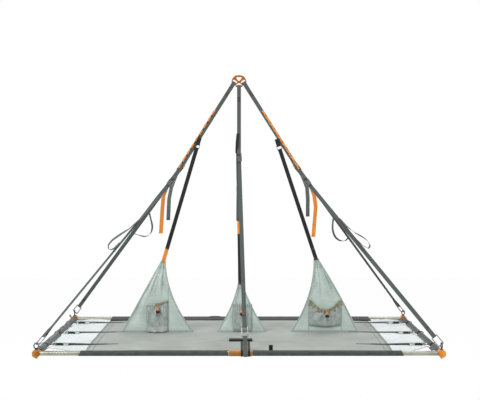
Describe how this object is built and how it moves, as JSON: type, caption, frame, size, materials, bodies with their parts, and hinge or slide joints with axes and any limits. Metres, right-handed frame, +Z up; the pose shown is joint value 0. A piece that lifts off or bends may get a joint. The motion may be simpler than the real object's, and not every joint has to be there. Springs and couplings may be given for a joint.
{
  "type": "portaledge",
  "caption": "Two-person hanging ledge: tube frame with a stretched fabric bed, hung from one forged ring by adjustable webbing legs, with fabric dividers along the bed's middle.",
  "frame": {"origin": "the point where an anchor bears on the top edge of the ring's eye", "axes": "+X along the bed's long side, +Y towards the wall, +Z up"},
  "size_m": [2.097, 1.244, 1.493],
  "materials": {
    "ring_anodised": "anodised satin",
    "corner_anodised": "anodised satin",
    "coupler_anodised": "anodised satin",
    "tube_aluminium": "drawn and anodised clear",
    "alloy_polished": "polished",
    "steel_zinc": "zinc plated",
    "steel_dark": "black oxide",
    "webbing_grey": "woven",
    "webbing_black": "woven",
    "webbing_orange": "woven",
    "bed_ripstop": "coated ripstop",
    "panel_mint": "coated ripstop",
    "pocket_grey": "fine mesh",
    "hem_grey": "coated cloth",
    "hem_black": "coated cloth",
    "plastic_black": "moulded",
    "cord_elastic": "braided"
  },
  "bodies": {
    "ring": {"master_ring": "ring_anodised"},
    "gate_front_left": {"gate_front_left": "alloy_polished"},
    "cam_front_left": {"cam_front_left": "steel_zinc"},
    "gate_rear_left": {"gate_rear_left": "alloy_polished"},
    "cam_rear_left": {"cam_rear_left": "steel_zinc"},
    "gate_front_middle": {"gate_front_middle": "alloy_polished"},
    "cam_front_middle": {"cam_front_middle": "steel_zinc"},
    "gate_rear_middle": {"gate_rear_middle": "alloy_polished"},
    "cam_rear_middle": {"cam_rear_middle": "steel_zinc"},
    "gate_front_right": {"gate_front_right": "alloy_polished"},
    "cam_front_right": {"cam_front_right": "steel_zinc"},
    "gate_rear_right": {"gate_rear_right": "alloy_polished"},
    "cam_rear_right": {"cam_rear_right": "steel_zinc"},
    "lock_plunger_left": {"lock_plunger_left": "plastic_black"},
    "lock_plunger_middle": {"lock_plunger_middle": "plastic_black"},
    "lock_plunger_right": {"lock_plunger_right": "plastic_black"},
    "ledge": {"beam_slings": "webbing_grey", "beam_spigots": "tube_aluminium", "beam_tubes": "tube_aluminium", "bed_panel": "bed_ripstop", "bed_patches": "webbing_black", "cam_buckle_frames": "steel_zinc", "cam_buckle_pins": "steel_zinc", "carabiner_bodies": "alloy_polished", "cord_locks": "plastic_black", "corner_eye_bolts": "steel_dark", "corner_front_left": "corner_anodised", "corner_front_right": "corner_anodised", "corner_rear_left": "corner_anodised", "corner_rear_right": "corner_anodised", "daisy_chains": "webbing_orange", "divider_clips": "steel_zinc", "divider_left": "panel_mint", "divider_middle": "panel_mint", "divider_pockets": "pocket_grey", "divider_right": "panel_mint", "divider_straps": "webbing_black", "end_panels": "panel_mint", "end_sleeves": "hem_grey", "end_tubes": "tube_aluminium", "front_coupler": "coupler_anodised", "front_hem": "hem_grey", "gate_pins": "steel_zinc", "ladder_locks": "plastic_black", "leg_front_left": "webbing_grey", "leg_front_middle": "webbing_grey", "leg_front_right": "webbing_grey", "leg_rear_left": "webbing_grey", "leg_rear_middle": "webbing_grey", "leg_rear_right": "webbing_grey", "pocket_cords": "cord_elastic", "pocket_pulls": "webbing_orange", "rear_coupler": "coupler_anodised", "rear_hem": "hem_black", "slack_loops": "webbing_grey", "strap_tails": "webbing_orange", "tension_straps": "webbing_grey", "trunk_strap_left": "webbing_grey", "trunk_strap_middle": "webbing_grey", "trunk_strap_right": "webbing_grey"}
  },
  "joints": [
    {"name": "ledge_swing", "type": "hinge", "parent": "ring", "child": "ledge", "pos_m": [0, 0, -0.042], "axis": [1, 0, 0], "range_deg": [-8, 8]},
    {"name": "gate_front_left_hinge", "type": "hinge", "parent": "ledge", "child": "gate_front_left", "pos_m": [-1.01002, -0.60276, -1.40363], "axis": [-0.5248, -0.4546, 0.7197], "range_deg": [0, 28], "stiffness_Nm_per_rad": 0.02, "springref_deg": -8.59},
    {"name": "cam_front_left_pivot", "type": "hinge", "parent": "ledge", "child": "cam_front_left", "pos_m": [-0.38017, -0.04366, -0.58628], "axis": [-0.8002, 0.0423, 0.5982], "range_deg": [0, 50], "stiffness_Nm_per_rad": 0.05, "springref_deg": -11.46},
    {"name": "gate_rear_left_hinge", "type": "hinge", "parent": "ledge", "child": "gate_rear_left", "pos_m": [-1.009, 0.59328, -1.41434], "axis": [-0.237, -0.8961, -0.3754], "range_deg": [0, 28], "stiffness_Nm_per_rad": 0.02, "springref_deg": -8.59},
    {"name": "cam_rear_left_pivot", "type": "hinge", "parent": "ledge", "child": "cam_rear_left", "pos_m": [-0.33115, 0.04184, -0.50887], "axis": [0.8026, 0.0371, -0.5953], "range_deg": [0, 50], "stiffness_Nm_per_rad": 0.05, "springref_deg": -11.46},
    {"name": "gate_front_middle_hinge", "type": "hinge", "parent": "ledge", "child": "gate_front_middle", "pos_m": [0.04586, -0.55085, -1.3686], "axis": [0, -0.8725, 0.4887], "range_deg": [0, 28], "stiffness_Nm_per_rad": 0.02, "springref_deg": -8.59},
    {"name": "cam_front_middle_pivot", "type": "hinge", "parent": "ledge", "child": "cam_front_middle", "pos_m": [0.00068, -0.04467, -0.45178], "axis": [-0.9996, -0.0138, -0.0247], "range_deg": [0, 50], "stiffness_Nm_per_rad": 0.05, "springref_deg": -11.46},
    {"name": "gate_rear_middle_hinge", "type": "hinge", "parent": "ledge", "child": "gate_rear_middle", "pos_m": [0.02277, 0.54349, -1.37356], "axis": [0, -0.8261, -0.5636], "range_deg": [0, 28], "stiffness_Nm_per_rad": 0.02, "springref_deg": -8.59},
    {"name": "cam_rear_middle_pivot", "type": "hinge", "parent": "ledge", "child": "cam_rear_middle", "pos_m": [0.00019, 0.04927, -0.63776], "axis": [1, -0.0045, 0.0066], "range_deg": [0, 50], "stiffness_Nm_per_rad": 0.05, "springref_deg": -11.46},
    {"name": "gate_front_right_hinge", "type": "hinge", "parent": "ledge", "child": "gate_front_right", "pos_m": [1.03392, -0.59158, -1.3961], "axis": [-0.2526, -0.881, 0.4001], "range_deg": [0, 28], "stiffness_Nm_per_rad": 0.02, "springref_deg": -8.59},
    {"name": "cam_front_right_pivot", "type": "hinge", "parent": "ledge", "child": "cam_front_right", "pos_m": [0.38017, -0.04366, -0.58628], "axis": [-0.8002, -0.0423, -0.5982], "range_deg": [0, 50], "stiffness_Nm_per_rad": 0.05, "springref_deg": -11.46},
    {"name": "gate_rear_right_hinge", "type": "hinge", "parent": "ledge", "child": "gate_rear_right", "pos_m": [1.02982, 0.57954, -1.40334], "axis": [-0.5525, -0.4465, -0.7038], "range_deg": [0, 28], "stiffness_Nm_per_rad": 0.02, "springref_deg": -8.59},
    {"name": "cam_rear_right_pivot", "type": "hinge", "parent": "ledge", "child": "cam_rear_right", "pos_m": [0.33115, 0.04184, -0.50887], "axis": [0.8026, -0.0371, 0.5953], "range_deg": [0, 50], "stiffness_Nm_per_rad": 0.05, "springref_deg": -11.46},
    {"name": "lock_plunger_left_press", "type": "slide", "parent": "ledge", "child": "lock_plunger_left", "axis": [-1, 0, 0], "range_m": [0, 0.0022], "stiffness_N_per_m": 300, "springref_m": -0.002},
    {"name": "lock_plunger_middle_press", "type": "slide", "parent": "ledge", "child": "lock_plunger_middle", "axis": [-1, 0, 0], "range_m": [0, 0.0022], "stiffness_N_per_m": 300, "springref_m": -0.002},
    {"name": "lock_plunger_right_press", "type": "slide", "parent": "ledge", "child": "lock_plunger_right", "axis": [-1, 0, 0], "range_m": [0, 0.0022], "stiffness_N_per_m": 300, "springref_m": -0.002}
  ]
}
